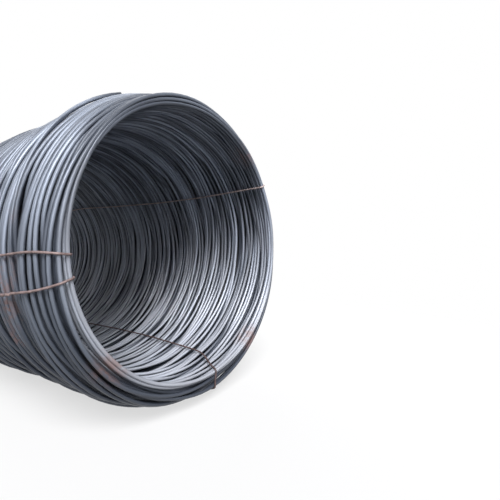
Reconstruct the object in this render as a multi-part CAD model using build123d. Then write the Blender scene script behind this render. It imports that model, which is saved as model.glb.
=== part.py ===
from build123d import *
import math
import os

# A coil of hot-rolled wire rod, lying on its side and held by four tie wires.
# Z is up and the floor is z = 0. The coil's length runs along Y, its front opening faces -Y,
# and the origin is on the floor under the middle of the coil.
# Millimetres throughout.

# The windings
bore_radius = 425.0
wall_thickness = 82.0  # of the turned body, from the bore's radius to the outside's
coil_length = 1640.0
sag = 20.0  # the loose turns hang this much lower than the bore
turn_width = 18.0  # across an end, from the groove on one side of a turn to the next
turn_rise = 3.5  # a turn's crown above the groove beside it
turn_crest = [0.5]  # where the crest lies, as shares of the turn's width
bundle_count = 4  # swells that the laid turns make along the outside
bundle_rise = 6.0
bundle_crest = [0.3, 0.7]  # the crest is level between these shares of the swell's width
shoulder_radius = 58.0  # rounding of the ends at the outside, where the laid turns grow smaller
lip_radius = 20.0  # rounding of the ends at the bore
lip_flats = 3

# The tie wires
tie_diameter = 6.0
tie_clearance = 0.3  # between a tie and the turns under it
tie_stand = 1.5  # how far a tie stands out of its groove into the bore
tie_overlap = 60.0  # the ends of a tie pass each other by this much along the outside

# Where each tie crosses the wall, in degrees about the bore from +X towards +Z,
# and the place along Y where its ends meet
ties = {
    "tie_wire_right": (34.0, 260.0),
    "tie_wire_bottom": (-66.0, 310.0),
    "tie_wire_left_upper": (183.5, 470.0),
    "tie_wire_left_lower": (193.5, -650.0),
}

# Worked out from the sizes above
half_length = coil_length / 2
outer_radius = bore_radius + wall_thickness
outer_axis_height = outer_radius
bore_axis_height = outer_axis_height + sag
tie_radius = tie_diameter / 2
tie_lift = tie_clearance + tie_radius  # a tie's centre line above the turns that it lies on
tie_side = tie_lift - tie_clearance / 2  # where its ends pass, half the tie's way to either side
strand_inner = bore_radius - tie_stand + tie_radius
strand_outside = outer_radius + tie_lift
strand_end = half_length + tie_lift


def crowns(points, rise, crest):
    """Points over a crown from each point to the next, raised to the left at each share in crest."""
    outline = []
    for start, end in zip(points, points[1:]):
        along = (end - start).normalized()
        left = Vector(-along.Y, along.X)
        outline.append(start)
        outline += [start + (end - start) * share + left * rise for share in crest]
    return outline


def end_grooves():
    """Points in the grooves between turns over the rear end, from the bore's lip out to the side."""
    groove_y = half_length - turn_rise
    flat_edge = outer_radius - bundle_rise - shoulder_radius
    flat_turns = math.ceil((flat_edge - (bore_radius + lip_radius - sag)) / turn_width)
    points = [Vector(flat_edge - turn_width * n, groove_y) for n in range(flat_turns, 0, -1)]
    shoulder_turns = round(math.pi / 2 * shoulder_radius / turn_width)
    centre = Vector(flat_edge, groove_y - shoulder_radius)
    for n in range(shoulder_turns + 1):
        angle = math.pi / 2 * (1 - n / shoulder_turns)
        points.append(centre + Vector(math.cos(angle), math.sin(angle)) * shoulder_radius)
    return points


def windings_body():
    """The turned body of the windings about Y, before its bore: crowned turns on both ends."""
    rear = end_grooves()
    front = [Vector(p.X, -p.Y) for p in reversed(rear)]
    side_start = rear[-1]
    bundle_width = (side_start.Y - front[0].Y) / bundle_count
    side = [side_start - Vector(0, bundle_width * n) for n in range(bundle_count)] + [front[0]]
    outline = crowns(rear, turn_rise, turn_crest) + crowns(side, bundle_rise, bundle_crest)
    outline += crowns(front, turn_rise, turn_crest) + [front[-1]]
    inside = bore_radius - sag - lip_radius
    outline += [Vector(inside, front[-1].Y), Vector(inside, rear[0].Y)]
    return revolve(make_face(Polyline(outline, close=True)), Axis.Y)


def bore_body():
    """The room inside the windings about Y: a round bore that flares round the lip at each end."""
    reach = half_length + lip_radius
    lip = CenterArc((bore_radius + lip_radius, half_length - lip_radius), lip_radius, 180, -90)
    rear = [lip @ (n / lip_flats) for n in range(lip_flats + 1)] + [Vector(bore_radius + lip_radius, reach)]
    front = [Vector(p.X, -p.Y) for p in reversed(rear)]
    outline = [Vector(0, -reach)] + front + rear + [Vector(0, reach)]
    return revolve(make_face(Polyline(outline, close=True)), Axis.Y)


def wall_plane(angle):
    """A tie's plane: its X runs out from the bore's axis, its Y along the coil and its Z sideways."""
    turn = math.radians(angle)
    return Plane(
        origin=(0, 0, bore_axis_height),
        x_dir=(math.cos(turn), 0, math.sin(turn)),
        z_dir=(math.sin(turn), 0, -math.cos(turn)),
    )


def wire(route, radius):
    """A round wire of that radius along straight runs, mitred where it bends."""
    path = Polyline(route)
    start = Plane(origin=path @ 0, z_dir=path % 0)
    return sweep(start * Circle(radius), path=path, transition=Transition.RIGHT)


def tie_groove(angle):
    """The groove that a tie lies in along the bore. It runs a little askew, as the tie does."""
    ends = [(strand_inner, -half_length, -tie_side), (strand_inner, half_length, tie_side)]
    return wall_plane(angle) * wire(ends, tie_radius + tie_clearance)


def tie_loop(angle, meeting_y):
    """A tie wire: from its meeting place over the front end, through the bore and back to it."""
    turn = math.radians(angle)
    strand_outer = math.sqrt(strand_outside**2 - (sag * math.cos(turn)) ** 2) - sag * math.sin(turn)
    rounding = math.sqrt(2) * (lip_radius + tie_lift)
    inner_bend = bore_radius + lip_radius - strand_inner + lip_radius + tie_lift - rounding
    rounding = math.sqrt(2) * (shoulder_radius + turn_rise + tie_lift)
    outer_bend = 2 * (shoulder_radius + tie_lift) + turn_rise + bundle_rise - rounding
    rear = [
        (strand_inner, strand_end - inner_bend, tie_side),
        (strand_inner + inner_bend, strand_end, tie_side),
        (strand_outer - outer_bend, strand_end, tie_side),
        (strand_outer, strand_end - outer_bend, tie_side),
    ]
    front = [(x, -y, -side) for x, y, side in reversed(rear)]
    first = (strand_outer, meeting_y + tie_overlap / 2, -tie_side)
    last = (strand_outer, meeting_y - tie_overlap / 2, tie_side)
    return wall_plane(angle) * wire([first] + front + rear + [last], tie_radius)


windings = Pos(0, 0, outer_axis_height) * windings_body() - Pos(0, 0, bore_axis_height) * bore_body()
for angle, meeting_y in ties.values():
    windings -= tie_groove(angle)

pieces = {"rod_windings": windings}
for name, (angle, meeting_y) in ties.items():
    pieces[name] = tie_loop(angle, meeting_y)

# The ties stand out at one side, so the whole is moved to put its middle on the origin
middle = Compound(list(pieces.values())).bounding_box().center()
os.makedirs("parts", exist_ok=True)
for name, piece in pieces.items():
    export_step(Pos(-middle.X, 0, 0) * piece, f"parts/{name}.step")
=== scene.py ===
"""Dresses the coil of wire rod: the turns of its one rod, its four tie wires, a studio and a camera.

Metres throughout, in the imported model's frame: the coil lies along Y, its front opening faces -Y,
and the floor is z = 0. Angles go round the bore from +X towards +Z.
"""

import logging
import math
from dataclasses import dataclass
from enum import Enum

import bpy
import numpy as np
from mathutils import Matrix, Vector

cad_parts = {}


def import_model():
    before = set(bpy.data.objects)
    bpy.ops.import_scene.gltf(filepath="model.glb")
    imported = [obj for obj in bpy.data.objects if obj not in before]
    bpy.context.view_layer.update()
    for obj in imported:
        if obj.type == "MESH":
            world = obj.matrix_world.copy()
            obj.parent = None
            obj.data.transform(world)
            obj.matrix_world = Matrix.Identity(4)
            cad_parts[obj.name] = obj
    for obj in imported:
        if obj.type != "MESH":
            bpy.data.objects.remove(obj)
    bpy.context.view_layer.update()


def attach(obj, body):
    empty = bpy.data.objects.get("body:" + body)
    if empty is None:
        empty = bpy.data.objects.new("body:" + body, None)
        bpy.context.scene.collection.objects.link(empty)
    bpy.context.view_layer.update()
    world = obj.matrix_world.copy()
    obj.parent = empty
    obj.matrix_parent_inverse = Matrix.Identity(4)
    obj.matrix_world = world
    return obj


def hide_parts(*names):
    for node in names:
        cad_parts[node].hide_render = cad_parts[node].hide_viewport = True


log = logging.getLogger("coil")

TINY = 1e-6  # keeps a distance from being nought, and an even row of places from losing its last one
WHITE = (1.0, 1.0, 1.0, 1.0)

Point = tuple[float, float, float]
Colour = tuple[float, float, float, float]
Span = tuple[float, float]  # where a smooth rise begins and where it ends


def bell(reach: int, width: float) -> np.ndarray:
    """A bell-shaped row of weights.

    Args:
        reach: How many weights lie on either side of the middle one.
        width: How wide the bell is, in weights.

    Returns:
        The weights, 1 in the middle.
    """
    return np.exp(-0.5 * (np.arange(-reach, reach + 1) / width) ** 2)


def evened(row: np.ndarray, reach: int, width: float) -> np.ndarray:
    """Evens out a row of values.

    Args:
        row: The values.
        reach: How many values on either side of one count.
        width: How wide the bell of their weights is.

    Returns:
        The evened values.
    """
    weights = bell(reach, width)
    return np.convolve(np.pad(row, reach, mode="edge"), weights / weights.sum(), "valid")


def put(name: str, data: bpy.types.ID) -> bpy.types.Object:
    """Puts an object with that name and that data into the scene."""
    made = bpy.data.objects.new(name, data)
    bpy.context.scene.collection.objects.link(made)
    return made


class Slot(Enum):
    """The record's material slots."""

    ROD = "mill_scale_rod"
    TIE = "rusty_tie"


@dataclass(frozen=True)
class CoilShape:
    """The room that the turns fill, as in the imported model.

    Attributes:
        bore_radius: From the bore's axis to the innermost turns.
        outer_radius: Of the outside, about its own axis.
        sag: How far the outside's axis lies under the bore's.
        half_length: From the middle to either end.
        axis_x: Where both axes lie across the coil.
        swell_rise: How high the bundles swell along the outside.
        swells: How many swells there are.
        shoulder: How far the turns draw in towards the ends.
        shoulder_length: How far from an end that begins.
    """

    bore_radius: float = 0.425
    outer_radius: float = 0.507
    sag: float = 0.020
    half_length: float = 0.820
    axis_x: float = 0.0031846
    swell_rise: float = 0.006
    swells: int = 4
    shoulder: float = 0.060
    shoulder_length: float = 0.150

    @property
    def axis_z(self) -> float:
        """Height of the bore's axis."""
        return self.outer_radius + self.sag

    def outside(self, angle: np.ndarray) -> np.ndarray:
        """Distance from the bore's axis to the outside.

        Args:
            angle: Angles round the bore, in radians.

        Returns:
            The distance at each angle.
        """
        across = self.sag * np.cos(angle)
        return np.sqrt(self.outer_radius**2 - across**2) - self.sag * np.sin(angle)

    def dip(self, y: np.ndarray) -> np.ndarray:
        """How far the outside lies under its crests, between the swells and round the ends.

        Args:
            y: Places along the coil.

        Returns:
            The depth at each place.
        """
        share = (y / (2 * self.half_length) + 0.5) * self.swells
        swell = self.swell_rise * (0.5 + 0.5 * np.cos(math.tau * share)) ** 2
        share = np.clip(1 - (self.half_length - np.abs(y)) / self.shoulder_length, 0, 1)
        return swell + self.shoulder * (1 - np.sqrt(1 - share**2))

    def place(self, angle: np.ndarray, radius: np.ndarray, y: np.ndarray) -> np.ndarray:
        """Turns places round the bore into points.

        Args:
            angle: Angles round the bore, in radians.
            radius: Distances from the bore's axis.
            y: Places along the coil.

        Returns:
            The points, one in each row.
        """
        x = self.axis_x + radius * np.cos(angle)
        z = self.axis_z + radius * np.sin(angle)
        return np.stack(np.broadcast_arrays(x, y, z), axis=-1)


@dataclass
class Laying:
    """How the one rod lies in the coil: loop upon loop, from the rear end to the front.

    A loop is nearly a circle set off to one side, so it lies at the outside there and at the bore
    across from it. The next loop is set off about a quarter turn further, so the turns lie close
    beside each other along the bore and the outside, and loosely inside the wall.

    Attributes:
        shape: The room that the turns fill.
        rod_radius: Half the rod's diameter.
        turns: How often the rod goes round.
        stations: Points on each turn.
        tail_angle: Where the rod's ends lie, in degrees.
        tail_leaves: Where the last turn leaves the front rim, as a share of the turn.
        tail_crosses: How long it takes to cross over to the outside, likewise.
        tail_back: How far behind the front it then lies.
        seed: For the laying's chance.
        advance: How much further round each loop is set off, in degrees.
        advance_spread: How much that differs from loop to loop.
        swing: How far a loop would swing, as shares of the wall.
        wander: How far a loop strays along the coil by itself.
        drift: How far the loops of a bundle stray together.
        slip: How deep a loop may lie under the surface.
        stiffness: How far the rod spreads a bend, in stations.
        ease: How the rod's line is evened out: how many stations on either side of one count, and how
            wide the bell of their weights is.
        bound_turns: How many loops at either end stray less than the rest.
        bundle_turns: About how many loops stray together.
        elbow_room: How far apart the loops are pushed, in rod diameters.
        partings: How often they are pushed.
        push_limit: The furthest that one push goes.
        push_share: How much of a push the rod follows.
        near_turns: How many loops on two of them can touch.
        front_lift: How far the last loops rise at the top, as shares of the wall.
        front_turns: How many loops are free to rise at the top of the front rim.
        front_room: How far they may rise.
    """

    shape: CoilShape
    rod_radius: float = 0.0055
    turns: int = 465
    stations: int = 96
    tail_angle: float = 110.0
    tail_leaves: float = 0.42
    tail_crosses: float = 0.36
    tail_back: float = 0.150
    seed: int = 11
    advance: float = 95.0
    advance_spread: float = 9.0
    swing: tuple[float, float] = (1.35, 1.62)
    wander: float = 0.004
    drift: float = 0.009
    slip: float = 0.005
    stiffness: float = 3.6
    ease: tuple[int, float] = (4, 1.3)
    bound_turns: int = 12
    bundle_turns: int = 10
    elbow_room: float = 1.24
    partings: int = 60
    push_limit: float = 0.003
    push_share: float = 0.9
    near_turns: int = 40
    front_lift: tuple[float, float, float] = (0.22, 0.50, 0.0)
    front_turns: int = 9
    front_room: float = 0.027

    def __post_init__(self) -> None:
        """Prepares the angles and the chance."""
        self.chance = np.random.default_rng(self.seed)
        self.reach = self.shape.half_length - self.rod_radius
        turned = np.linspace(0, math.tau, self.stations, endpoint=False)
        self.angles = math.radians(self.tail_angle) - turned
        self.top = np.clip(np.sin(self.angles), 0, 1) ** 2
        station = np.arange(self.stations)
        self.share = station / self.stations
        tail = np.clip((self.share - self.tail_leaves) / self.tail_crosses, 0, 1)
        self.tail = tail * tail * (3 - 2 * tail)
        gap = np.minimum(station, self.stations - station)
        weights = np.exp(-0.5 * (gap / self.stiffness) ** 2)
        self.weights = np.fft.rfft(weights / weights.sum())

    def follow(self, pushes: np.ndarray) -> np.ndarray:
        """How the stiff rod follows pushes, since each bends the stations beside it too.

        Args:
            pushes: A push at each station round each loop.

        Returns:
            How far each station moves.
        """
        held = np.clip(pushes, -self.push_limit, self.push_limit)
        return np.fft.irfft(np.fft.rfft(held) * self.weights, self.stations) * self.push_share

    def offsets(self) -> np.ndarray:
        """Where each loop lies in the wall.

        Returns:
            A row for each loop, from 0 at the bore to 1 at the outside.
        """
        count = self.turns + 1
        facing = -np.cumsum(np.radians(self.chance.normal(self.advance, self.advance_spread, count)))
        swing = self.chance.uniform(*self.swing, count)
        rows = np.clip(0.5 + 0.5 * swing[:, None] * np.cos(self.angles - facing[:, None]), 0, 1)
        rows[:2] = 0
        rows[-3:] = np.outer(self.front_lift, self.top)
        return rows

    def strays(self) -> np.ndarray:
        """How far each loop lies from its even place along the coil.

        Returns:
            A row for each loop.
        """
        count = self.turns + 1
        left = np.minimum(np.arange(count), np.arange(count)[::-1])
        free = np.minimum(left / self.bound_turns, 1)[:, None]
        bundle = bell(3 * self.bundle_turns, self.bundle_turns)
        bundle /= np.sqrt((bundle**2).sum())
        rows = np.zeros((count, self.stations))
        for waves in (1, 2, 3):
            size = self.chance.normal(0, self.wander / waves, (count, 1))
            start = self.chance.uniform(0, math.tau, (count, 1))
            rows += size * np.cos(waves * self.angles - start)
            drifts = self.chance.normal(0, self.drift / waves, (2, count))
            across, above = (np.convolve(drift, bundle, "same")[:, None] for drift in drifts)
            rows += across * np.cos(waves * self.angles) + above * np.sin(waves * self.angles)
        return rows * free

    def part(self, radii: np.ndarray, heights: np.ndarray, low: np.ndarray, high: np.ndarray) -> None:
        """Pushes loops apart where they run into each other, and keeps them in the wall.

        Args:
            radii: A row of radii for each loop, which is changed.
            heights: A row of heights over the rear end for each loop, which is changed.
            low: The least radii.
            high: The greatest radii, where the outside has no dip.
        """
        width = 2 * self.rod_radius * self.elbow_room
        least = np.broadcast_to(low, radii.shape).copy()
        least[-self.front_turns :] += self.front_room * self.top
        for _ in range(self.partings):
            out = np.zeros_like(radii)
            up = np.zeros_like(heights)
            for step in range(1, self.near_turns):
                across = radii[step:] - radii[:-step]
                above = heights[step:] - heights[:-step]
                push = 0.5 * np.maximum(width / (np.hypot(across, above) + TINY) - 1, 0)
                push[-1] *= self.tail
                out[step:] += push * across
                out[:-step] -= push * across
                up[step:] += push * above
                up[:-step] -= push * above
            radii += self.follow(out)
            heights += self.follow(up)
            np.clip(heights, 0, 2 * self.reach, out=heights)
            y = self.reach - heights
            np.clip(radii, low, np.maximum(high - self.shape.dip(y), least), out=radii)

    def lay(self) -> tuple[np.ndarray, np.ndarray, np.ndarray]:
        """Lays the whole rod.

        Returns:
            The angle, the radius and the place along the coil at each station of the rod.
        """
        inner = self.shape.bore_radius + self.rod_radius
        outer = self.shape.outside(self.angles) - self.rod_radius
        over = outer + 2 * self.rod_radius
        radii = inner + self.offsets() * (outer - inner)
        heights = np.linspace(0, 2 * self.reach, self.turns + 1)[:, None] + self.strays()
        low = inner + self.chance.uniform(0, self.slip, (self.turns + 1, 1))
        high = outer - self.chance.uniform(0, self.slip, (self.turns + 1, 1))
        low[[0, 1, -3, -2, -1]] = inner  # the rims' loops lie right at the bore
        high[-1] = over
        radii[-1] += self.tail * (over - inner)
        heights[-1] -= self.tail * self.tail_back
        self.part(radii, heights, low, high)
        radius = radii[:-1] * (1 - self.share) + radii[1:] * self.share
        height = heights[:-1] * (1 - self.share) + heights[1:] * self.share
        angle = self.angles - math.tau * np.arange(self.turns)[:, None]
        y = self.reach - height
        return angle.ravel(), evened(radius.ravel(), *self.ease), evened(y.ravel(), *self.ease)


@dataclass
class RodWindings:
    """The windings: the turns of the one rod, from the rear end to the front.

    Attributes:
        laying: How the rod lies.
        finish: What it is made of.
        sides: Faces round the rod.
        names: The pieces that the rod's length is made in.
        shape: The room that the turns fill.
        around: The angle, the radius and the place along the coil at each station of the rod.
        centres: The same places as points.
    """

    laying: Laying
    finish: "RodFinish"
    sides: int = 8
    names: tuple[str, ...] = ("turns_rear", "turns_rear_middle", "turns_front_middle", "turns_front")

    def __post_init__(self) -> None:
        """Lays the rod."""
        self.shape = self.laying.shape
        self.around = self.laying.lay()
        self.centres = self.shape.place(*self.around)

    def build(self) -> list[bpy.types.Object]:
        """Makes the windings.

        Returns:
            The pieces, each with its finish.
        """
        rings = self.rings()
        steps = np.linalg.norm(np.diff(self.centres, axis=0), axis=1)
        lengths = np.concatenate([[0], np.cumsum(steps)])
        material = self.finish.material()
        cuts = np.linspace(0, len(rings) - 1, len(self.names) + 1).astype(int)
        pieces = []
        for name, start, end in zip(self.names, cuts, cuts[1:]):
            piece = self.tube(name, rings[start : end + 1], lengths[start : end + 1])
            piece.data.materials.append(material)
            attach(piece, "root")
            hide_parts("rod_windings")
            pieces.append(piece)
            log.info("%s: %d faces", name, len(piece.data.polygons))
        return pieces

    def rings(self) -> np.ndarray:
        """Finds the points of the rod's surface.

        Returns:
            A ring of points for each station of the rod.
        """
        along = np.gradient(self.centres, axis=0)
        along /= np.linalg.norm(along, axis=1, keepdims=True)
        out = self.centres - np.array([self.shape.axis_x, 0, self.shape.axis_z])
        out[:, 1] = 0
        out -= along * (out * along).sum(axis=1, keepdims=True)
        out /= np.linalg.norm(out, axis=1, keepdims=True)
        across = np.cross(along, out)
        turn = (math.tau * np.arange(self.sides) / self.sides)[None, :, None]
        ring = out[:, None] * np.cos(turn) + across[:, None] * np.sin(turn)
        return self.centres[:, None] + ring * self.laying.rod_radius

    def tube(self, name: str, rings: np.ndarray, lengths: np.ndarray) -> bpy.types.Object:
        """Makes a length of the rod.

        Args:
            name: The piece's name.
            rings: The points round it at each of its stations.
            lengths: How far along the whole rod each station lies.

        Returns:
            The piece.
        """
        index = np.arange(len(rings) * self.sides).reshape(-1, self.sides)
        after = np.roll(index, -1, axis=1)
        quads = np.stack([index[:-1], after[:-1], after[1:], index[1:]], axis=-1).reshape(-1, 4)
        loops = np.concatenate([quads.ravel(), index[0][::-1], index[-1]])
        starts = np.concatenate([np.arange(len(quads)) * 4, len(quads) * 4 + np.arange(2) * self.sides])
        mesh = bpy.data.meshes.new(name)
        mesh.vertices.add(index.size)
        mesh.vertices.foreach_set("co", rings.astype(np.float32).ravel())
        mesh.loops.add(len(loops))
        mesh.loops.foreach_set("vertex_index", loops.astype(np.int32))
        mesh.polygons.add(len(starts))
        mesh.polygons.foreach_set("loop_start", starts.astype(np.int32))
        mesh.update(calc_edges=True)
        layer = mesh.uv_layers.new(name="Rod")
        layer.uv.foreach_set("vector", self.unrolled(lengths).astype(np.float32).ravel())
        mesh.polygons.foreach_set("use_smooth", np.ones(len(starts), bool))
        mesh.validate()
        return put(name, mesh)

    def unrolled(self, lengths: np.ndarray) -> np.ndarray:
        """Unrolls the rod's surface for its finish.

        Args:
            lengths: How far along the whole rod each ring of points lies.

        Returns:
            For each corner of each face its place along the rod in metres and the share of the way
            round it, with the two end faces last.
        """
        low = np.broadcast_to(np.arange(self.sides) / self.sides, (len(lengths) - 1, self.sides))
        high = low + 1 / self.sides
        here = np.broadcast_to(lengths[:-1, None], low.shape)
        ahead = np.broadcast_to(lengths[1:, None], low.shape)
        corners = [(here, low), (here, high), (ahead, high), (ahead, low)]
        faces = np.stack([np.stack(corner, axis=-1) for corner in corners], axis=2).reshape(-1, 2)
        ends = [np.tile([length, 0.5], (self.sides, 1)) for length in (lengths[0], lengths[-1])]
        return np.concatenate([faces, *ends])


@dataclass
class HiddenTurns:
    """The turns in the middle of the wall that no one sees, as one ridged sleeve, dark with painted shade.

    It lies under the turns on either side and keeps light from shining through between them.

    Attributes:
        shape: The room that the turns fill.
        finish: What it is made of.
        ridge: The width of a ridge.
        rise: The height of a ridge.
        thin: Half its thickness in the grooves between the ridges.
        margin: How far inside the ends it stops.
        stations: Points round the coil.
    """

    shape: CoilShape
    # finish: What it is made of, near-black as painted shade.
    finish: "RodFinish"
    ridge: float = 0.014
    rise: float = 0.004
    thin: float = 0.001
    margin: float = 0.050
    stations: int = 72

    def build(self) -> bpy.types.Object:
        """Makes the sleeve.

        Returns:
            The piece with its finish.
        """
        reach = self.shape.half_length - self.margin
        count = 2 * round(reach * 2 / self.ridge) + 1
        along = np.linspace(-reach, reach, count)
        wave = np.where(np.arange(count) % 2, self.rise, 0.0)
        turn = math.tau * np.arange(self.stations) / self.stations
        outer = self.shape.outside(turn)[None, :] - self.shape.dip(along)[:, None]
        middle = 0.5 * (outer + self.shape.bore_radius)
        skins = [middle + self.thin + wave[:, None], middle - self.thin - wave[:, None]]
        upper, under = (self.shape.place(turn[None, :], skin, along[:, None]) for skin in skins)
        rings = np.concatenate([upper, under[::-1]])
        index = np.arange(rings.shape[0] * self.stations).reshape(-1, self.stations)
        after = np.roll(index, -1, axis=1)
        ahead = [np.roll(row, -1, axis=0) for row in (after, index)]
        quads = np.stack([index, after, *ahead], axis=-1).reshape(-1, 4)
        mesh = bpy.data.meshes.new("turns_inside")
        mesh.from_pydata(rings.reshape(-1, 3).tolist(), [], quads.tolist())
        mesh.uv_layers.new(name="Rod")
        mesh.validate()
        sleeve = put("turns_inside", mesh)
        bpy.ops.object.select_all(action="DESELECT")
        bpy.context.view_layer.objects.active = sleeve
        sleeve.select_set(True)
        bpy.ops.object.mode_set(mode="EDIT")
        bpy.ops.mesh.select_all(action="SELECT")
        bpy.ops.mesh.normals_make_consistent(inside=False)
        bpy.ops.object.mode_set(mode="OBJECT")
        # The sleeve stands in for real turns; its near-black colour is painted shade.
        mesh.materials.append(self.finish.material("hidden_rod_painted_shade"))
        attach(sleeve, "root")
        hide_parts("rod_windings")
        log.info("turns_inside: %d faces", len(mesh.polygons))
        return sleeve


class Graph:
    """The nodes of a material or of the world."""

    def __init__(self, owner: bpy.types.Material | bpy.types.World) -> None:
        """Starts the owner's nodes anew."""
        owner.use_nodes = True
        self.owner = owner
        self.tree = owner.node_tree
        self.tree.nodes.clear()

    def node(
        self, kind: str, settings: dict[str, object] | None = None, **inputs: object
    ) -> bpy.types.Node:
        """Makes a node.

        Args:
            kind: The node's type.
            settings: Its properties.
            inputs: A value or a link for each socket, by its name with _ for a space, or in{n} by number.

        Returns:
            The node.
        """
        made = self.tree.nodes.new(kind)
        for name, value in (settings or {}).items():
            setattr(made, name, value)
        for name, value in inputs.items():
            key = int(name[2:]) if name[:2] == "in" and name[2:].isdigit() else name.replace("_", " ")
            socket = made.inputs[key]
            if isinstance(value, Value):
                self.tree.links.new(value.socket, socket)
            else:
                socket.default_value = value
        return made

    def take(self, made: bpy.types.Node, output: int | str = 0) -> "Value":
        """One output of a node, for an expression."""
        return Value(self, made.outputs[output])

    def math(self, operation: str, *values: "Value | float") -> "Value":
        """Adds a Math node.

        Args:
            operation: What the node does.
            values: Its one, two or three inputs.

        Returns:
            Its result.
        """
        inputs = {f"in{n}": value for n, value in enumerate(values)}
        return self.take(self.node("ShaderNodeMath", {"operation": operation}, **inputs))

    def noise(self, vector: "Value", scale: float, detail: float = 2.0, rough: float = 0.5) -> "Value":
        """Even noise from 0 to 1.

        Args:
            vector: Where it is read.
            scale: Its features to the metre.
            detail: Its octaves.
            rough: How much the fine ones count.

        Returns:
            The noise.
        """
        made = self.node("ShaderNodeTexNoise", Vector=vector, Scale=scale, Detail=detail, Roughness=rough)
        return self.take(made)

    def mix(self, share: "Value", low: "Value | tuple", high: "Value | tuple") -> "Value":
        """Mixes two colours.

        Args:
            share: How much of the second.
            low: The first colour.
            high: The second colour.

        Returns:
            The mixed colour.
        """
        made = self.node("ShaderNodeMix", {"data_type": "RGBA"}, in0=share, in6=low, in7=high)
        return self.take(made, 2)

    def blend(self, share: "Value", first: bpy.types.Node, second: bpy.types.Node) -> bpy.types.Node:
        """Mixes two shaders, with that share of the second."""
        return self.node("ShaderNodeMixShader", in0=share, in1=self.take(first), in2=self.take(second))

    def mirrored(self, path: bpy.types.Node) -> "Value":
        """Whether a ray was mirrored or let through, from the Light Path node."""
        return self.take(path, "Is Glossy Ray") + self.take(path, "Is Transmission Ray")

    def finish(self, shader: bpy.types.Node, output: str = "ShaderNodeOutputMaterial") -> bpy.types.ID:
        """Puts the shader on the owner's surface.

        Args:
            shader: The shader.
            output: The type of the owner's output node.

        Returns:
            The owner.
        """
        self.node(output, Surface=self.take(shader))
        return self.owner


class Value:
    """A socket that can stand in an expression."""

    def __init__(self, graph: Graph, socket: bpy.types.NodeSocket) -> None:
        """Wraps the socket."""
        self.graph = graph
        self.socket = socket

    def __add__(self, other: "Value | float") -> "Value":
        """The sum."""
        return self.graph.math("ADD", self, other)

    __radd__ = __add__

    def __mul__(self, other: "Value | float") -> "Value":
        """The product."""
        return self.graph.math("MULTIPLY", self, other)

    __rmul__ = __mul__

    def __sub__(self, other: "Value | float") -> "Value":
        """The difference."""
        return self.graph.math("SUBTRACT", self, other)

    def __rsub__(self, other: float) -> "Value":
        """The difference from a number."""
        return self.graph.math("SUBTRACT", other, self)

    def clamp(self) -> "Value":
        """The value held from 0 to 1."""
        return self.graph.math("MINIMUM", self.graph.math("MAXIMUM", self, 0.0), 1.0)

    def step(self, low: float, high: float) -> "Value":
        """A smooth rise from 0 at low to 1 at high."""
        smooth = {"interpolation_type": "SMOOTHSTEP"}
        made = self.graph.node("ShaderNodeMapRange", smooth, Value=self, From_Min=low, From_Max=high)
        return self.graph.take(made)


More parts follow.
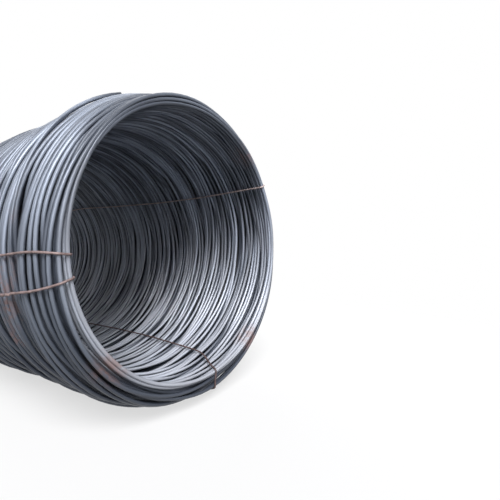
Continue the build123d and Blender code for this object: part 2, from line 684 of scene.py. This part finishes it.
@dataclass(frozen=True)
class RodFinish:
    """Blue-grey mill scale with some thin rust, and painted shade.

    Attributes:
        dark: The scale's dark blue-grey.
        light: Its lighter grey, where the scale wears.
        rust: Thin rust.
        dust: Pale dust, low on the bore's face.
        shape: The room that the turns fill.
        rust_spots: Where rust gathers on the front rim, and how far it reaches there.
        rust_cover: How much of the scale's colour the rust hides at most.
        face: How far behind the bore its face ends.
        dust_end: Up to what height the dust lies.
        under_bore: How far behind the bore the rods grow dark with painted shade.
        under_outside: How far under the outside they grow dark with painted shade.
        rim_start: How far along the coil from its middle the rims begin, where shade is painted.
        rim_height: How far above or below the bore's axis they grow dark with painted shade.
        belly_end: Up to what height the outside's underside is darkened with painted shade.
        deep_shade: How much of the light grey is lost to painted shade deep in the wall.
        rim_shade: How much is lost to painted shade on the rims.
        belly_shade: How much is lost to painted shade on the underside.
    """

    dark: Colour = (0.046, 0.055, 0.076, 1.0)
    light: Colour = (0.372, 0.420, 0.520, 1.0)
    rust: Colour = (0.280, 0.146, 0.116, 1.0)
    dust: Colour = (0.620, 0.645, 0.720, 1.0)
    shape: CoilShape = CoilShape()
    rust_spots: tuple[tuple[Point, float], ...] = (
        ((0.29, -0.80, 0.92), 0.10),
        ((-0.31, -0.82, 0.22), 0.08),
        ((0.28, -0.80, 0.18), 0.07),
    )
    rust_cover: float = 0.55
    face: Span = (0.011, 0.041)
    dust_end: Span = (0.15, 0.85)
    under_bore: Span = (0.012, 0.026)
    under_outside: Span = (0.005, 0.019)
    rim_start: Span = (0.70, 0.79)
    rim_height: Span = (0.20, 0.38)
    belly_end: Span = (0.14, 0.66)
    deep_shade: float = 0.85
    rim_shade: float = 0.65
    belly_shade: float = 0.90

    def zones(self, graph: Graph, place: Value) -> tuple[Value, Value, Value]:
        """Finds where in the coil a spot on the rod lies.

        Args:
            graph: The material's nodes.
            place: The spot.

        Returns:
            Each from 0 to 1, how much dust can lie there, how deep in the wall it is, for painted shade,
            and how much of the light grey it loses to painted shade as part of a rim or of the underside.
        """
        shape = self.shape
        parts = graph.node("ShaderNodeSeparateXYZ", Vector=place)
        height = graph.take(parts, "Z")
        across = graph.take(parts, "X") - shape.axis_x
        above = height - shape.axis_z
        lower = above + shape.sag
        beside = graph.math("ABSOLUTE", graph.take(parts, "Y"))
        from_bore = graph.math("SQRT", across * across + above * above) - shape.bore_radius
        drawn = beside - (shape.half_length - shape.shoulder_length)
        drawn = (drawn * (1 / shape.shoulder_length)).clamp()
        dip = (1.0 - graph.math("SQRT", 1.0 - drawn * drawn)) * shape.shoulder
        from_outside = shape.outer_radius - dip - graph.math("SQRT", across * across + lower * lower)
        # Painted shade: rods lying deeper in the wall, behind the bore or under the outside, grow dark.
        deep = from_outside.step(*self.under_outside)
        deep = graph.math("MINIMUM", deep, from_bore.step(*self.under_bore))
        face = 1.0 - from_bore.step(*self.face)
        dusty = face * (1.0 - height.step(*self.dust_end)) * (1.0 - deep)
        # Painted shade: the rods high and low on both ends grow dark.
        tall = graph.math("ABSOLUTE", above).step(*self.rim_height)
        rim = beside.step(*self.rim_start) * tall * self.rim_shade
        # Painted shade: low on the coil, away from the bore's face, the rods grow dark.
        belly = (1.0 - face) * (1.0 - height.step(*self.belly_end)) * self.belly_shade
        return dusty, deep, graph.math("MAXIMUM", rim, belly)

    def rusted(self, graph: Graph, place: Value, patches: Value) -> Value:
        """Finds how rusty a spot on the rod is.

        Args:
            graph: The material's nodes.
            place: The spot.
            patches: Wide, even noise.

        Returns:
            The rust, from 0 to 1.
        """
        freckles = graph.noise(place, scale=60.0, detail=3.0, rough=0.7).step(0.40, 0.62)
        rusted = patches.step(0.62, 0.74) * freckles
        for spot, reach in self.rust_spots:
            away = graph.node("ShaderNodeVectorMath", {"operation": "DISTANCE"}, in0=place, in1=spot)
            close = 1.0 - graph.take(away, "Value").step(0.1 * reach, reach)
            flecks = graph.noise(place, scale=35.0, detail=4.0, rough=0.7).step(0.36, 0.56)
            rusted = graph.math("MAXIMUM", rusted, close * flecks)
        return rusted

    def material(self, name: str = "mill_scale_rod") -> bpy.types.Material:
        """Makes the rod's material.

        Args:
            name: The material's name.

        Returns:
            The material.
        """
        graph = Graph(bpy.data.materials.new(name))
        place = graph.take(graph.node("ShaderNodeTexCoord"), "Object")
        rod = graph.take(graph.node("ShaderNodeUVMap", {"uv_map": "Rod"}))
        long = graph.take(graph.node("ShaderNodeMapping", Vector=rod, Scale=(1.0, 0.6, 1.0)))
        fine = graph.take(graph.node("ShaderNodeMapping", Vector=rod, Scale=(9.0, 14.0, 1.0)))
        tone = graph.noise(long, scale=1.3, detail=3.0, rough=0.6)
        streaks = graph.noise(fine, scale=1.0, detail=3.0, rough=0.6)
        grain = graph.noise(place, scale=420.0, detail=2.0, rough=0.6)
        patches = graph.noise(place, scale=2.6, detail=4.0, rough=0.6)
        dusty, deep, shade = self.zones(graph, place)
        rusted = self.rusted(graph, place, patches)
        wear_and_painted_shade = (tone.step(0.40, 0.62) * 0.80 + streaks.step(0.42, 0.70) * 0.30).clamp()
        # Painted shade: the light grey is taken back deep in the wall, on the rims and on the underside.
        wear_and_painted_shade = wear_and_painted_shade * (1.0 - shade) * (1.0 - deep * self.deep_shade)
        scale = graph.mix(wear_and_painted_shade, self.dark, self.light)
        dusted_with_painted_shade = graph.mix(dusty * (0.3 + patches * 0.6), scale, self.dust)
        bump = graph.node("ShaderNodeBump", Strength=0.15, Distance=0.0005, Height=streaks)
        shader = graph.node(
            "ShaderNodeBsdfPrincipled",
            Base_Color=graph.mix(rusted * self.rust_cover, dusted_with_painted_shade, self.rust),
            Metallic=0.20,
            Roughness=0.42 + grain * 0.06 + rusted * 0.25 - wear_and_painted_shade * 0.05,
            Normal=graph.take(bump),
        )
        return graph.finish(shader)


@dataclass(frozen=True)
class TieFinish:
    """Thin brown rust on soft wire.

    Attributes:
        dark: The deep brown.
        light: The pinkish brown that shows most.
    """

    dark: Colour = (0.112, 0.075, 0.072, 1.0)
    light: Colour = (0.385, 0.288, 0.280, 1.0)

    def material(self) -> bpy.types.Material:
        """Makes a tie's material.

        Returns:
            The material.
        """
        graph = Graph(bpy.data.materials.new("rusty_tie"))
        place = graph.take(graph.node("ShaderNodeTexCoord"), "Object")
        blotches = graph.noise(place, scale=45.0, detail=4.0, rough=0.65)
        grain = graph.noise(place, scale=600.0, detail=2.0, rough=0.6)
        share = (blotches.step(0.32, 0.68) * 0.8 + grain * 0.2).clamp()
        bump = graph.node("ShaderNodeBump", Strength=0.4, Distance=0.0005, Height=grain + blotches)
        shader = graph.node(
            "ShaderNodeBsdfPrincipled",
            Base_Color=graph.mix(share, self.dark, self.light),
            Metallic=0.1,
            Roughness=0.55 + blotches * 0.2,
            Normal=graph.take(bump),
        )
        return graph.finish(shader)


@dataclass
class TieWire:
    """A tie wire: through the bore, over both ends and back along the outside to its own start.

    Attributes:
        node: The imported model's piece that it stands for.
        windings: The turns that it holds.
        finish: What it is made of.
        inside: Its places along the bore, as pairs of the way from the front and the angle in degrees.
        outside: Its places along the outside, likewise.
        meeting: Where its two ends meet, along the coil.
        radius: Half the wire's diameter.
        lift: Between the wire and the rods under it.
        half_wall: How far behind the bore the rods count as the outside's.
        crossing: How far behind the bore the wire has its angle on the outside.
        search: How far apart the places are where rods under it are looked for.
        near: How far from such a place along the coil a rod counts.
        bend: The most that it bends between two points round a rod, in degrees.
        spacing: How far apart the points of its centre line are.
        ease: How its angle is evened out: how many points on either side of one count, and how wide
            the bell of their weights is.
        twist: How long its two ends are twisted together.
        twist_turns: How often they go round each other.
        twist_width: How far either end lies from the twist's middle, in wire radii.
        untwist: How far beyond the twist the ends come together, as a share of half the twist.
        tip: How far from the twist's middle its tips stand off, as a share of the twist.
        tip_slope: How steeply they do.
    """

    node: str
    windings: RodWindings
    finish: TieFinish
    inside: list[tuple[float, float]]
    outside: list[tuple[float, float]]
    meeting: float
    radius: float = 0.003
    lift: float = 0.0002
    half_wall: float = 0.040
    crossing: float = 0.060
    search: float = 0.040
    near: float = 0.030
    bend: float = 20.0
    spacing: float = 0.010
    ease: tuple[int, float] = (10, 3.6)
    twist: float = 0.056
    twist_turns: float = 2.5
    twist_width: float = 1.03
    untwist: float = 0.6
    tip: float = 0.36
    tip_slope: float = 0.9

    def __post_init__(self) -> None:
        """Takes over the windings' shape."""
        self.shape = self.windings.shape

    def rods_at(self, angle: float) -> np.ndarray:
        """Where the turns cross a half plane from the bore's axis.

        Args:
            angle: The half plane's angle round the bore, in degrees.

        Returns:
            The rods' centres there, each as its place along Y and its radius.
        """
        laying = self.windings.laying
        _, radius, y = self.windings.around
        share = (laying.angles[0] - math.radians(angle)) % math.tau / math.tau * laying.stations
        station = int(share)
        rest = share - station
        index = np.arange(laying.turns) * laying.stations + station
        rows = np.stack([y, radius], axis=-1)
        return rows[index] * (1 - rest) + rows[np.minimum(index + 1, len(rows) - 1)] * rest

    def angle_at(self, y: float, outer: bool) -> float:
        """The wire's own angle at a place along the coil.

        Args:
            y: The place.
            outer: Whether it is the strand along the outside.

        Returns:
            The angle round the bore, in degrees.
        """
        ways, angles = zip(*(self.outside if outer else self.inside))
        return float(np.interp(y + self.shape.half_length, ways, angles))

    def section(self) -> np.ndarray:
        """The rods that the wire goes round, each where the wire passes it.

        Returns:
            The place along Y and the radius of each rod.
        """
        middle = self.shape.bore_radius + self.half_wall
        found = []
        for outer in (False, True):
            for way in np.arange(0.0, 2 * self.shape.half_length + TINY, self.search):
                y = way - self.shape.half_length
                rods = self.rods_at(self.angle_at(y, outer))
                close = np.abs(rods[:, 0] - y) < self.near
                found.append(rods[close & ((rods[:, 1] > middle) == outer)])
        return np.concatenate(found)

    def bearing_rods(self, rods: np.ndarray) -> np.ndarray:
        """The rods that a taut wire round them all would touch.

        Args:
            rods: The place along Y and the radius of each rod.

        Returns:
            Those of them that it bears on, in order round the section.
        """
        order = rods[np.lexsort((rods[:, 1], rods[:, 0]))]
        found: list[np.ndarray] = []
        for row in (order, order[::-1]):
            kept: list[np.ndarray] = []
            for rod in row:
                while len(kept) > 1:
                    reach, step = kept[-1] - kept[-2], rod - kept[-2]
                    if reach[0] * step[1] - reach[1] * step[0] > 0:
                        break
                    kept.pop()
                kept.append(rod)
            found += kept[:-1]
        return np.array(found)

    def taut_loop(self) -> np.ndarray:
        """Draws the wire tight round the rods that it bears on.

        Returns:
            The corners of its centre line as places along Y and radii, from the one nearest to where
            its ends meet, over the front, and back to the same one.
        """
        rods = self.bearing_rods(self.section())
        lift = self.windings.laying.rod_radius + self.radius + self.lift
        steps = np.roll(rods, -1, axis=0) - rods
        normal = np.stack([steps[:, 1], -steps[:, 0]], axis=-1)
        normal /= np.linalg.norm(steps, axis=1, keepdims=True)
        corners = []
        for rod, before, after in zip(rods, np.roll(normal, 1, axis=0), normal):
            turn = math.acos(float(np.clip(before @ after, -1, 1)))
            for share in np.linspace(0, 1, 2 + int(turn / math.radians(self.bend))):
                way = before * (1 - share) + after * share
                corners.append(rod + way / np.linalg.norm(way) * lift)
        corners = np.array(corners)
        reach = np.hypot(corners[:, 0] - self.meeting, corners[:, 1] - self.shape.outer_radius)
        loop = np.roll(corners, -int(reach.argmin()), axis=0)
        loop = loop if loop[-1, 0] > loop[1, 0] else np.roll(loop[::-1], 1, axis=0)
        return np.concatenate([loop, loop[:1]])

    def route(self) -> np.ndarray:
        """The wire's centre line.

        Returns:
            Its points, from its one end outside, over the front, through the bore and over the rear,
            to its other end beside the first, with the ends twisted round each other.
        """
        loop = self.taut_loop()
        along = np.concatenate([[0], np.cumsum(np.linalg.norm(np.diff(loop, axis=0), axis=1))])
        length = along[-1]
        quarter = len(loop) // 4
        meet = float(np.interp(-self.meeting, -loop[:quarter, 0], along[:quarter]))
        place = np.arange(-self.twist / 2, length + self.twist / 2, self.spacing) + meet
        y = np.interp(place % length, along, loop[:, 0])
        radius = np.interp(place % length, along, loop[:, 1])
        share = np.clip((radius - self.shape.bore_radius) / self.crossing, 0, 1)
        inside, outside = (np.array([self.angle_at(at, outer) for at in y]) for outer in (False, True))
        angle = evened(np.radians(inside * (1 - share) + outside * share), *self.ease)
        return self.twisted(place - meet, length, angle, radius, y)

    def twisted(
        self, place: np.ndarray, length: float, angle: np.ndarray, radius: np.ndarray, y: np.ndarray
    ) -> np.ndarray:
        """Twists the wire's two ends round each other where they meet.

        Args:
            place: How far along the wire each point lies from the meeting place.
            length: Once round the coil.
            angle: Each point's angle round the bore.
            radius: Each point's distance from the bore's axis.
            y: Each point's place along the coil.

        Returns:
            The points.
        """
        first = place < length / 2
        beyond = np.where(first, place, place - length)
        near = 1 + self.untwist - np.abs(beyond) / (self.twist / 2)
        near = np.clip(near, 0, self.untwist) / self.untwist
        turn = beyond / self.twist * math.tau * self.twist_turns + np.where(first, 0, math.pi)
        past = np.clip(np.where(first, -beyond, beyond) - self.twist * self.tip, 0, None)
        rise = near * self.radius * (1.0 + self.twist_width * np.sin(turn)) + past * self.tip_slope
        side = near * self.radius * self.twist_width * np.cos(turn)
        return self.shape.place(angle + side / radius, radius + rise, y)

    def build(self) -> bpy.types.Object:
        """Makes the tie wire.

        Returns:
            The piece with its finish.
        """
        bpy.ops.object.select_all(action="DESELECT")
        bpy.ops.curve.primitive_nurbs_path_add()
        wire = bpy.context.object
        curve = wire.data
        curve.splines.clear()
        points = self.route()
        spline = curve.splines.new("NURBS")
        spline.points.add(len(points) - 1)
        for point, place in zip(spline.points, points):
            point.co = (*place, 1.0)
        spline.order_u = 3
        spline.use_endpoint_u = True
        spline.resolution_u = 2
        curve.bevel_depth = self.radius
        curve.bevel_resolution = 2
        curve.use_fill_caps = True
        bpy.ops.object.convert(target="MESH")
        wire = bpy.context.object
        wire.name = self.node + "_dressed"
        wire.data.name = wire.name
        bpy.ops.object.shade_smooth()
        wire.data.materials.clear()
        wire.data.materials.append(self.finish.material())
        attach(wire, "root")
        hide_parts(self.node)
        log.info("%s: %d faces", wire.name, len(wire.data.polygons))
        return wire


@dataclass
class Studio:
    """A pale floor, soft light and the camera.

    Attributes:
        camera_place: Where the camera stands.
        camera_turn: How far it looks from +Y towards +X, in degrees.
        camera_tilt: How far it looks up, in degrees.
        lens: Its focal length in millimetres.
        sensor: Its sensor's width in millimetres.
        suns: Broad, even lamps, each with its name, the direction that it shines from, how wide it is in
            degrees, and its strength.
        floor_size: The floor's width.
        floor_dull: Its colour as the coil sees it, so it throws little light up.
        floor_pale: Its colour to look at.
        floor_glow: How much of it is plain white beside the coil.
        floor_fade: How far away it turns plain white.
        sky: The world's light on the coil.
        sky_strength: How strong that is.
    """

    camera_place: Point = (-0.831, -1.584, 0.486)
    camera_turn: float = 55.2
    camera_tilt: float = 1.2
    lens: float = 25.2
    sensor: float = 36.0
    suns: tuple[tuple[str, Point, float, float], ...] = (
        ("key", (-0.50, -0.54, 0.68), 30.0, 4.4),
        ("fill", (-0.25, -0.90, 0.36), 60.0, 0.75),
        ("back", (0.35, 0.70, 0.62), 60.0, 0.75),
    )
    floor_size: float = 60.0
    floor_dull: Colour = (0.10, 0.10, 0.102, 1.0)
    floor_pale: Colour = (0.85, 0.85, 0.86, 1.0)
    floor_glow: float = 0.66
    floor_fade: Span = (1.2, 2.8)
    sky: Colour = (0.86, 0.92, 1.0, 1.0)
    sky_strength: float = 0.06

    def camera(self) -> None:
        """Makes the camera."""
        data = bpy.data.cameras.new("camera")
        data.lens = self.lens
        data.sensor_width = self.sensor
        data.clip_start = 0.05
        camera = put("camera", data)
        camera.location = self.camera_place
        camera.rotation_euler = (math.radians(90 + self.camera_tilt), 0, -math.radians(self.camera_turn))
        bpy.context.scene.camera = camera

    def lamps(self) -> None:
        """Makes the suns."""
        for name, place, spread, strength in self.suns:
            data = bpy.data.lights.new(name, "SUN")
            data.angle = math.radians(spread)
            data.energy = strength
            lamp = put(name, data)
            lamp.location = place
            lamp.rotation_euler = (-Vector(place)).to_track_quat("-Z", "Y").to_euler()

    def floor(self) -> None:
        """Makes the floor, which is nearly white to look at and keeps the coil's soft shadow."""
        bpy.ops.object.select_all(action="DESELECT")
        bpy.ops.mesh.primitive_plane_add(size=self.floor_size, location=(0, 0, 0))
        floor = bpy.context.object
        floor.name = "floor"
        graph = Graph(bpy.data.materials.new("floor"))
        path = graph.node("ShaderNodeLightPath")
        camera = graph.take(path, "Is Camera Ray")
        colour = graph.mix(camera, self.floor_dull, self.floor_pale)
        lit = graph.node("ShaderNodeBsdfPrincipled", Base_Color=colour, Roughness=0.9)
        white = graph.node("ShaderNodeEmission", Color=WHITE, Strength=1.0)
        place = graph.take(graph.node("ShaderNodeTexCoord"), "Object")
        away = graph.take(graph.node("ShaderNodeVectorMath", {"operation": "LENGTH"}, in0=place), "Value")
        glow = self.floor_glow + away.step(*self.floor_fade) * (1 - self.floor_glow)
        seen = camera * glow + graph.mirrored(path)
        floor.data.materials.append(graph.finish(graph.blend(seen, lit, white)))

    def world(self) -> None:
        """Makes the world: white to look at, and a soft even light."""
        world = bpy.data.worlds.new("studio")
        graph = Graph(world)
        path = graph.node("ShaderNodeLightPath")
        seen = graph.take(path, "Is Camera Ray") + graph.mirrored(path)
        soft = graph.node("ShaderNodeBackground", Color=self.sky, Strength=self.sky_strength)
        white = graph.node("ShaderNodeBackground", Color=WHITE, Strength=1.0)
        graph.finish(graph.blend(seen, soft, white), "ShaderNodeOutputWorld")
        bpy.context.scene.world = world

    def build(self) -> None:
        """Makes the studio."""
        self.floor()
        self.world()
        self.lamps()
        self.camera()
        bpy.context.scene.view_settings.view_transform = "Standard"


def tie_wires(windings: RodWindings) -> list[TieWire]:
    """The four ties, where the photograph shows them.

    Args:
        windings: The turns that they hold.

    Returns:
        The ties.
    """
    plain = TieFinish()
    # pale is a lighter copy of the tie finish: painted light on the right tie, which lies in shade.
    pale = TieFinish(dark=(0.248, 0.186, 0.180, 1.0), light=(0.680, 0.555, 0.540, 1.0))
    deep = TieFinish(dark=(0.050, 0.032, 0.032, 1.0), light=(0.161, 0.107, 0.104, 1.0))
    return [
        TieWire(
            "tie_wire_right",
            windings,
            pale,
            inside=[
                (0, 34.9),
                (0.11, 34.4),
                (0.34, 33.4),
                (0.614, 33.5),
                (0.934, 35.0),
                (1.296, 37.5),
                (1.64, 36.5),
            ],
            outside=[(0, 34.5), (0.5, 34.0), (1.1, 34.0), (1.64, 36.0)],
            meeting=0.260,
        ),
        TieWire(
            "tie_wire_bottom",
            windings,
            deep,
            inside=[
                (0, -82.0),
                (0.06, -76.5),
                (0.13, -69.5),
                (0.468, -65.6),
                (0.702, -64.5),
                (0.966, -64.5),
                (1.64, -66.0),
            ],
            outside=[(0, -82.0), (0.3, -72.0), (1.1, -66.0), (1.64, -66.0)],
            meeting=0.310,
        ),
        TieWire(
            "tie_wire_left_upper",
            windings,
            plain,
            inside=[(0, 185.1), (0.3, 184.5), (1.3, 183.5), (1.64, 183.5)],
            outside=[(0, 183.0), (0.066, 183.3), (0.144, 184.3), (0.4, 184.0), (1.1, 183.5), (1.64, 183.5)],
            meeting=0.470,
        ),
        TieWire(
            "tie_wire_left_lower",
            windings,
            plain,
            inside=[(0, 191.2), (0.3, 192.5), (1.3, 193.5), (1.64, 193.5)],
            outside=[(0, 193.3), (0.116, 193.7), (0.174, 194.7), (0.4, 194.0), (1.1, 193.5), (1.64, 193.5)],
            meeting=-0.650,
        ),
    ]


def main() -> None:
    """Builds the coil and its studio."""
    logging.basicConfig(level=logging.INFO, format="%(name)s %(message)s")
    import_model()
    shape = CoilShape()
    windings = RodWindings(Laying(shape), RodFinish())
    windings.build()
    # The sleeve's near-black colours are painted shade: the hidden turns are the same mill scale.
    HiddenTurns(shape, RodFinish(dark=(0.015, 0.017, 0.021, 1.0), light=(0.030, 0.033, 0.040, 1.0))).build()
    for tie in tie_wires(windings):
        tie.build()
    Studio().build()


if __name__ == "__main__":
    main()
